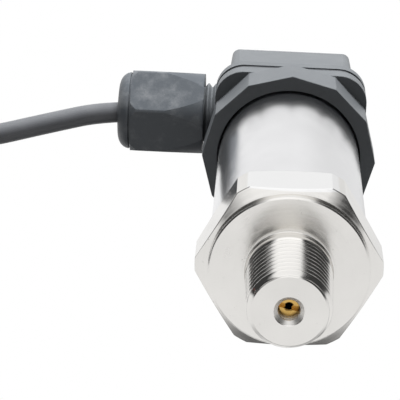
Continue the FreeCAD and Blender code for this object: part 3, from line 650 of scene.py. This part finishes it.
def build_fitting():
    """Port, collar and hexagon as one turned bar.

    Over the port, radius = min(45 degree chamfer, crest - depth * wave(height / pitch - turns)),
    where the wave is flat-topped and fades out at the neck. Over the hexagon, radius = min(turned
    radius, apothem / cos(angle from the flat)), and the rows follow the line where the two meet.
    """
    strip = 30.0 - math.degrees(math.acos(HEX_APOTHEM / HEX_TURNED))
    angles = six_sided_columns(HEX_TURN, strip, HEX_COLUMNS)
    turns = angles / (2 * math.pi)
    slope = (BASE_RADIUS - TIP_RADIUS) / (THREAD_END - PORT_CHAMFER)
    depth = bpy.context.scene.transmitter_sizes.thread_depth / MM
    thread = []
    for height in np.arange(THREAD_START, THREAD_STOP, THREAD_PITCH / THREAD_STEPS):
        taper = TIP_RADIUS + slope * (height - PORT_CHAMFER)
        fade = 1 - smooth_step(height, THREAD_END - FADE_BEFORE, THREAD_END + FADE_AFTER)
        cut = thread_wave(height / THREAD_PITCH - turns)
        crest = min(taper, NECK_RADIUS)
        radius = np.minimum(crest - depth * fade * cut, TIP_RADIUS - PORT_CHAMFER + height)
        thread.append((radius, height, None))
    inside = []
    for height in np.arange(BORE_THREAD_TOP, BORE_THREAD_FOOT, -BORE_PITCH / BORE_THREAD_STEPS):
        cut = thread_wave(height / BORE_PITCH - turns)
        inside.append((BORE_RADIUS + BORE_THREAD_DEPTH * cut, height, None))
    bar = np.minimum(hexagon_radius(angles, HEX_TURN, HEX_APOTHEM), HEX_TURNED)
    rise = HEX_SLOPE * (bar - COLLAR_RADIUS)
    radius, height = profile_rows(len(angles), [
        (MOUTH_RADIUS, 0.0, 0.08),
        (TIP_RADIUS - PORT_CHAMFER, 0.0, 0.06),
        *thread,
        (NECK_RADIUS, NECK_START, None),
        (NECK_RADIUS, PORT_LENGTH, 0.12),
        (COLLAR_RADIUS - COLLAR_EDGE, PORT_LENGTH, 0.05),
        (COLLAR_RADIUS, PORT_LENGTH + COLLAR_EDGE, 0.05),
        (COLLAR_RADIUS, HEX_BOTTOM, 0.06),
        (bar, HEX_BOTTOM + rise, 0.12),
        (bar, HEX_TOP - rise, 0.12),
        (COLLAR_RADIUS, HEX_TOP, 0.10),
        (SPIGOT_RADIUS, HEX_TOP, 0.05),
        (SPIGOT_RADIUS, SPIGOT_TOP, 0.1),
        (POCKET_RADIUS, SPIGOT_TOP, 0.1),
        (POCKET_RADIUS, POCKET_FLOOR, 0.1),
        (PASSAGE_RADIUS, POCKET_FLOOR, 0.1),
        (PASSAGE_RADIUS, PASSAGE_START, 0.05),
        (BORE_RADIUS, BORE_END, 0.05),
        (BORE_RADIUS, BORE_RELIEF, None),
        *inside,
        (BORE_RADIUS, MOUTH_DEPTH, 0.05),
    ])
    piece = around_z("fitting", angles, radius, height, "stainless_steel")
    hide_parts("process_fitting")
    return piece


def build_case():
    """The case tube, with its two ends broken."""
    angles = np.linspace(0, 2 * math.pi, CASE_COLUMNS, endpoint=False)
    length = CASE_TOP - HEX_TOP
    radius, height = profile_rows(CASE_COLUMNS, [
        (CASE_BORE, HEX_TOP, 0.05),
        (CASE_RADIUS, HEX_TOP, 0.12),
        *[(CASE_RADIUS, HEX_TOP + share * length, None) for share in (0.2, 0.4, 0.6, 0.8)],
        (CASE_RADIUS, CASE_TOP, 0.12),
        (CASE_BORE, CASE_TOP, 0.05),
    ])
    piece = around_z("case", angles, radius, height, "case_steel")
    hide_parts("case_tube")
    return piece


def build_nut():
    """The gland's nut and domed cap about the gland's axis.

    radius = min(cone, apothem / cos(angle from the flat)). The rows follow the lines where the
    flats run out into the cone towards the plug and into the short chamfer towards the cap.
    """
    strip = 30.0 - math.degrees(math.acos(NUT_APOTHEM / NUT_CONE))
    angles = six_sided_columns(NUT_TURN, strip, NUT_COLUMNS)
    flat = hexagon_radius(angles, NUT_TURN, NUT_APOTHEM)
    bar = np.minimum(flat, NUT_CONE)
    start = np.minimum(flat, NUT_FOOT)
    end = np.minimum(flat, NUT_FACE)
    cone_end = NUT_START + NUT_CONE_SLOPE * (bar - start)
    chamfer_start = NUT_END - NUT_CHAMFER_SLOPE * (bar - end)
    dome_start = NUT_END + GROOVE_WIDTH
    dome = []
    for turn in np.radians(np.linspace(0.0, DOME_TURN, DOME_ROWS)):
        rise = DOME_RISE * math.sin(turn) / math.sin(math.radians(DOME_TURN))
        dome.append((DOME_ROOT + DOME_BULGE * math.cos(turn), dome_start + rise))
    radius, reach = profile_rows(len(angles), [
        (NUT_THREAD_RADIUS, NUT_START, 0.1),
        (start, NUT_START, 0.25),
        (bar, cone_end, 0.15),
        (bar, chamfer_start, 0.15),
        (end, NUT_END, 0.25),
        (GROOVE_RADIUS, NUT_END, 0.1),
        (GROOVE_RADIUS, dome_start, 0.1),
        (*dome[0], 0.12),
        *[(*spot, None) for spot in dome[1:]],
        (EYE_EDGE, DOME_TIP, 0.1),
        (EYE_RADIUS, DOME_TIP - EYE_DEPTH, 0.1),
        (EYE_RADIUS, NUT_SHELF, 0.1),
        (NUT_THREAD_RADIUS, NUT_SHELF, 0.1),
    ])
    piece = along_gland("gland_cap_nut", angles, radius, reach, "gland_plastic")
    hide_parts("gland_nut")
    return piece


def softened(name, node, slot, width, segments=2):
    """A merged copy of a CAD node with its sharp edges rounded."""
    mesh = frame["nodes"][node].data.copy()
    mesh.name = name
    if "custom_normal" in mesh.attributes:
        mesh.attributes.remove(mesh.attributes["custom_normal"])
    work = bmesh.new()
    work.from_mesh(mesh)
    bmesh.ops.remove_doubles(work, verts=work.verts, dist=MERGE_DISTANCE)
    flat = math.radians(FLAT_ANGLE)
    bmesh.ops.dissolve_limit(work, angle_limit=flat, verts=work.verts, edges=work.edges)
    work.to_mesh(mesh)
    work.free()
    mesh.shade_smooth()
    mesh.set_sharp_from_angle(angle=math.radians(SHARP_ANGLE))
    piece = placed(name, mesh, slot)
    bevel = piece.modifiers.new("edges", "BEVEL")
    bevel.width = width
    bevel.segments = segments
    bevel.limit_method = "ANGLE"
    bevel.angle_limit = math.radians(SHARP_ANGLE)
    bevel.harden_normals = True
    bevel.use_clamp_overlap = True
    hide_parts(node)
    return piece


def winding_points():
    """Control points of the coil: a strand that turns about X and works round the bundle's middle.

    y and z run on a circle of radius R + r cos(step) and x = middle + r sin(step), where step grows
    by 60 degrees a turn, so that six strands lie side by side round the bundle. The circle is a
    little larger, since a quadratic spline runs inside its control points.
    """
    count = int(round(WINDING_TURNS * POINTS_PER_TURN))
    inward = (3 + math.cos(2 * math.pi / POINTS_PER_TURN)) / 4
    spots = []
    for number in range(1, count):
        turns = number / POINTS_PER_TURN
        angle = math.radians(WINDING_START + 360.0 * turns)
        step = math.radians(STRAND_STEP * turns)
        radius = (COIL_RADIUS + WINDING_OFFSET * math.cos(step)) / inward
        x = COIL_CENTRE[0] + WINDING_OFFSET * math.sin(step)
        y = COIL_CENTRE[1] + radius * math.cos(angle)
        z = COIL_CENTRE[2] + radius * math.sin(angle)
        spots.append((x, y, z))
    return spots


def spline_length(spots):
    """Length in millimetres of the quadratic curve through a route of control points."""
    spots = np.array(spots)
    halves = (spots[:-1] + spots[1:]) / 2
    halves[0], halves[-1] = spots[0], spots[-1]
    share = np.linspace(0, 1, 13)[:, None]
    total = 0.0
    for before, corner, after in zip(halves[:-1], spots[1:-1], halves[1:]):
        line = quadratic(before, corner, after, share)
        total += np.linalg.norm(np.diff(line, axis=0), axis=1).sum()
    return total


def build_cable():
    """The whole cable as one curve: out of the gland, into the coil and out to its stripped end."""
    spots = [*CABLE_ROUTE, *winding_points(), *TAIL_ROUTE]
    curve = bpy.data.curves.new("cable_line", "CURVE")
    curve.dimensions = "3D"
    curve.bevel_depth = CABLE_RADIUS * MM
    curve.bevel_resolution = 7
    curve.use_fill_caps = True
    curve.resolution_u = 10
    spline = curve.splines.new("NURBS")
    spline.points.add(len(spots) - 1)
    for point, spot in zip(spline.points, spots):
        point.co = (*[part * MM for part in spot], 1.0)
    spline.order_u = 3
    spline.use_endpoint_u = True
    spline.use_smooth = True
    curve.materials.append(material("cable_sheath"))
    piece = bpy.data.objects.new("cable_lead", curve)
    bpy.context.scene.collection.objects.link(piece)
    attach(piece, "root")
    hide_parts("cable", "cable_coil", "cable_tail")
    return piece, spline_length(spots) * MM


def build_strap():
    """Strap round the coil: a flat band of four sides, swept in a circle round the bundle.

    The circle's radius swells by a small cosine with six waves, one over each strand.
    """
    half = STRAP_HALF_WIDTH / COIL_RADIUS
    section = np.array([
        (STRAP_INNER, -half), (STRAP_OUTER, -half), (STRAP_OUTER, half), (STRAP_INNER, half),
    ])
    around = np.linspace(0, 2 * math.pi, STRAP_COLUMNS, endpoint=False)
    bundle = 1 + STRAP_WAVES * np.cos(6 * around)
    rows = []
    for corner, following in zip(section, np.roll(section, -1, axis=0)):
        for share in np.linspace(0, 1, STRAP_ROWS, endpoint=False):
            rows.append(corner + (following - corner) * share)
    rows = np.array(rows)
    radius = rows[:, :1] * bundle
    sweep = math.radians(STRAP_PLACE) + rows[:, 1:] * np.ones_like(around)
    from_axis = COIL_RADIUS + radius * np.cos(around)
    x = COIL_CENTRE[0] + radius * np.sin(around)
    y = COIL_CENTRE[1] + from_axis * np.cos(sweep)
    z = COIL_CENTRE[2] + from_axis * np.sin(sweep)
    piece = closed_surface("coil_strap", x, y, z, "tie_strap")
    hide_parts("coil_tie")
    return piece


def build_camera():
    """The camera looks at the port from a little above, so the plug is behind and higher."""
    data = bpy.data.cameras.new("camera")
    data.sensor_width = 36.0
    data.lens = VIEW_LENS
    data.clip_start = 0.01
    data.clip_end = 5.0
    camera = bpy.data.objects.new("camera", data)
    bpy.context.scene.collection.objects.link(camera)
    turn = Matrix((VIEW_RIGHT, VIEW_UP, -Vector(VIEW_AHEAD))).transposed()
    camera.matrix_world = Matrix.Translation(Vector(VIEW_PLACE)) @ turn.to_4x4()
    bpy.context.scene.camera = camera


def build_world(room):
    """White behind the object, a soft studio in reflections, and a quieter white on matt faces.

    As on a white table under a long window: pale below the object and beyond it, bright above it,
    and dark to its left and right where the window ends. The picture's upper side is -Y and its far
    side +Z.
    """
    world = bpy.data.worlds.new("room")
    shader = Shader(world)
    heading = shader.add("ShaderNodeTexCoord", output="Generated")
    across, height, away = shader.split(heading)
    above = (0.0 - height).ease(*HORIZON)
    below = height.ease(*SHADE_BELOW)
    beside = across.ease(*DARK_RIGHT) + (0.0 - across).ease(*DARK_LEFT)
    beyond = away.ease(*BACK_BEYOND)
    edge = height.ease(*EDGE_BELOW) * across.ease(*EDGE_RIGHT)
    back = BACK_LEVEL - RIGHT_FALL * across.ease(*FALL_RIGHT) - EDGE_FALL * edge
    ceiling = WINDOW_LEVEL + (TOP_LEVEL - WINDOW_LEVEL) * (0.0 - height).ease(*TOP_ABOVE)
    window = ceiling + (DARK_LEVEL - ceiling) * beside
    table = TABLE_LEVEL + (SHADE_LEVEL - TABLE_LEVEL) * below
    near = table + (window - table) * above
    studio = near + (back - near) * beyond
    rays = "ShaderNodeLightPath"
    seen = shader.add(rays, output="Is Camera Ray")
    mirrored = shader.add(rays, output="Is Glossy Ray")
    level = room + (studio - room) * mirrored
    strength = level + (1.0 - level) * seen
    white = {"Color": (1.0, 1.0, 1.0, 1.0), "Strength": strength}
    light = shader.add("ShaderNodeBackground", None, white)
    output = shader.tree.nodes.new("ShaderNodeOutputWorld")
    shader.tree.links.new(light.socket, output.inputs["Surface"])
    bpy.context.scene.world = world


def build_lamp(power):
    """One large soft lamp beyond the top of the picture, which only matt faces see."""
    data = bpy.data.lights.new("key", "AREA")
    data.shape = "DISK"
    data.size = KEY_SIZE
    data.energy = power
    lamp = bpy.data.objects.new("key", data)
    bpy.context.scene.collection.objects.link(lamp)
    lamp.location = KEY_PLACE
    lamp.rotation_mode = "QUATERNION"
    lamp.rotation_quaternion = (Vector(KEY_TARGET) - Vector(KEY_PLACE)).to_track_quat("-Z", "Y")
    lamp.visible_glossy = False


def build_floor():
    """A plain pale floor under the hanging object, behind the camera. It glows for camera rays."""
    corners = [(-1, -1), (1, -1), (1, 1), (-1, 1)]
    mesh = bpy.data.meshes.new("floor")
    mesh.from_pydata(
        [(x * FLOOR_REACH, y * FLOOR_REACH, FLOOR_HEIGHT) for x, y in corners], [], [(0, 1, 2, 3)],
    )
    mesh.update()
    floor = bpy.data.objects.new("floor", mesh)
    bpy.context.scene.collection.objects.link(floor)
    shader = new_shader("floor")
    seen = shader.add("ShaderNodeLightPath", output="Is Camera Ray")
    glow = shader.blend(seen, opaque((0.0, 0.0, 0.0)), shaded(FLOOR_COLOUR, FLOOR_GLOW))
    colour = opaque(FLOOR_COLOUR)
    mesh.materials.append(
        shader.finish(Base_Color=colour, Roughness=0.9, Emission_Color=glow, Emission_Strength=1.0)
    )
    floor.visible_glossy = False


class TRANSMITTER_OT_materials(bpy.types.Operator):
    """Make the finishes and give the fixed inner parts theirs"""

    bl_idname = "transmitter.materials"
    bl_label = "Finishes"

    def execute(self, context):
        made = build_materials(context.scene.transmitter_finish)
        wanted = {part["node"]: part["material_slot"] for part in frame["record"]["subparts"]}
        for name, node in frame["nodes"].items():
            node.data.materials.clear()
            node.data.materials.append(made[wanted[name]])
        return {"FINISHED"}


class TRANSMITTER_OT_fitting(bpy.types.Operator):
    """Make the port with its thread, the collar and the hexagon"""

    bl_idname = "transmitter.fitting"
    bl_label = "Process fitting"

    def execute(self, context):
        build_fitting()
        return {"FINISHED"}


class TRANSMITTER_OT_restrictor(bpy.types.Operator):
    """Make the brass screw in the port's bore"""

    bl_idname = "transmitter.restrictor"
    bl_label = "Restrictor screw"

    def execute(self, context):
        softened("restrictor", "restrictor_screw", "brass", RESTRICTOR_EDGE)
        return {"FINISHED"}


class TRANSMITTER_OT_case(bpy.types.Operator):
    """Make the case tube"""

    bl_idname = "transmitter.case"
    bl_label = "Case tube"

    def execute(self, context):
        build_case()
        return {"FINISHED"}


class TRANSMITTER_OT_mouldings(bpy.types.Operator):
    """Make the terminal base, gasket and plug housing with rounded edges"""

    bl_idname = "transmitter.mouldings"
    bl_label = "Plug mouldings"

    def execute(self, context):
        edge = context.scene.transmitter_sizes.edge
        softened("base_moulding", "terminal_base", "black_plastic", edge, 3)
        softened("gasket", "flat_gasket", "seal_rubber", edge * GASKET_SHARE)
        softened("plug", "plug_housing", "black_plastic", edge, 3)
        softened("plug_screw", "fixing_screw", "zinc_steel", edge * SCREW_SHARE)
        return {"FINISHED"}


class TRANSMITTER_OT_nut(bpy.types.Operator):
    """Make the cable gland's nut"""

    bl_idname = "transmitter.nut"
    bl_label = "Gland nut"

    def execute(self, context):
        build_nut()
        return {"FINISHED"}


class TRANSMITTER_OT_cable(bpy.types.Operator):
    """Make the cable, its strap and its stripped end"""

    bl_idname = "transmitter.cable"
    bl_label = "Cable"

    def execute(self, context):
        cable, length = build_cable()
        strap = build_strap()
        cores = softened("cores", "tail_cores", "core_insulation", CORE_EDGE)
        ends = softened("core_ferrules", "ferrules", "ferrule_metal", CORE_EDGE)
        return {"FINISHED"}


class TRANSMITTER_OT_stage(bpy.types.Operator):
    """Make the white room, the lamp and the floor"""

    bl_idname = "transmitter.stage"
    bl_label = "Stage"

    def execute(self, context):
        build_world(context.scene.transmitter_stage.room)
        build_lamp(context.scene.transmitter_stage.key_power)
        build_floor()
        return {"FINISHED"}


class TRANSMITTER_OT_camera(bpy.types.Operator):
    """Place the camera in front of the port, above the gland's side"""

    bl_idname = "transmitter.camera"
    bl_label = "Camera"

    def execute(self, context):
        build_camera()
        return {"FINISHED"}


class TRANSMITTER_PT_panel(bpy.types.Panel):
    """The add-on's panel in the 3D view's sidebar"""

    bl_idname = "TRANSMITTER_PT_panel"
    bl_label = "Pressure transmitter"
    bl_space_type = "VIEW_3D"
    bl_region_type = "UI"
    bl_category = "Transmitter"

    def draw(self, context):
        for operator in OPERATORS:
            self.layout.operator(operator.bl_idname)
        for group in ("transmitter_finish", "transmitter_sizes", "transmitter_stage"):
            box = self.layout.box()
            values = getattr(context.scene, group)
            for name in values.__annotations__:
                box.prop(values, name)


GROUPS = {
    "transmitter_finish": TransmitterFinish,
    "transmitter_sizes": TransmitterSizes,
    "transmitter_stage": TransmitterStage,
}
OPERATORS = [
    TRANSMITTER_OT_materials,
    TRANSMITTER_OT_camera,
    TRANSMITTER_OT_cable,
    TRANSMITTER_OT_fitting,
    TRANSMITTER_OT_restrictor,
    TRANSMITTER_OT_case,
    TRANSMITTER_OT_mouldings,
    TRANSMITTER_OT_nut,
    TRANSMITTER_OT_stage,
]


def register():
    for group in GROUPS.values():
        bpy.utils.register_class(group)
    for operator in OPERATORS:
        bpy.utils.register_class(operator)
    bpy.utils.register_class(TRANSMITTER_PT_panel)
    for name, group in GROUPS.items():
        setattr(bpy.types.Scene, name, PointerProperty(type=group))


def unregister():
    for name in GROUPS:
        delattr(bpy.types.Scene, name)
    bpy.utils.unregister_class(TRANSMITTER_PT_panel)
    for operator in reversed(OPERATORS):
        bpy.utils.unregister_class(operator)
    for group in reversed(list(GROUPS.values())):
        bpy.utils.unregister_class(group)


def main():
    register()
    bpy.context.scene.view_settings.view_transform = "Standard"
    bpy.ops.transmitter.materials()
    bpy.ops.transmitter.camera()
    bpy.ops.transmitter.cable()
    bpy.ops.transmitter.fitting()
    bpy.ops.transmitter.restrictor()
    bpy.ops.transmitter.case()
    bpy.ops.transmitter.mouldings()
    bpy.ops.transmitter.nut()
    bpy.ops.transmitter.stage()


if __name__ == "__main__":
    main()
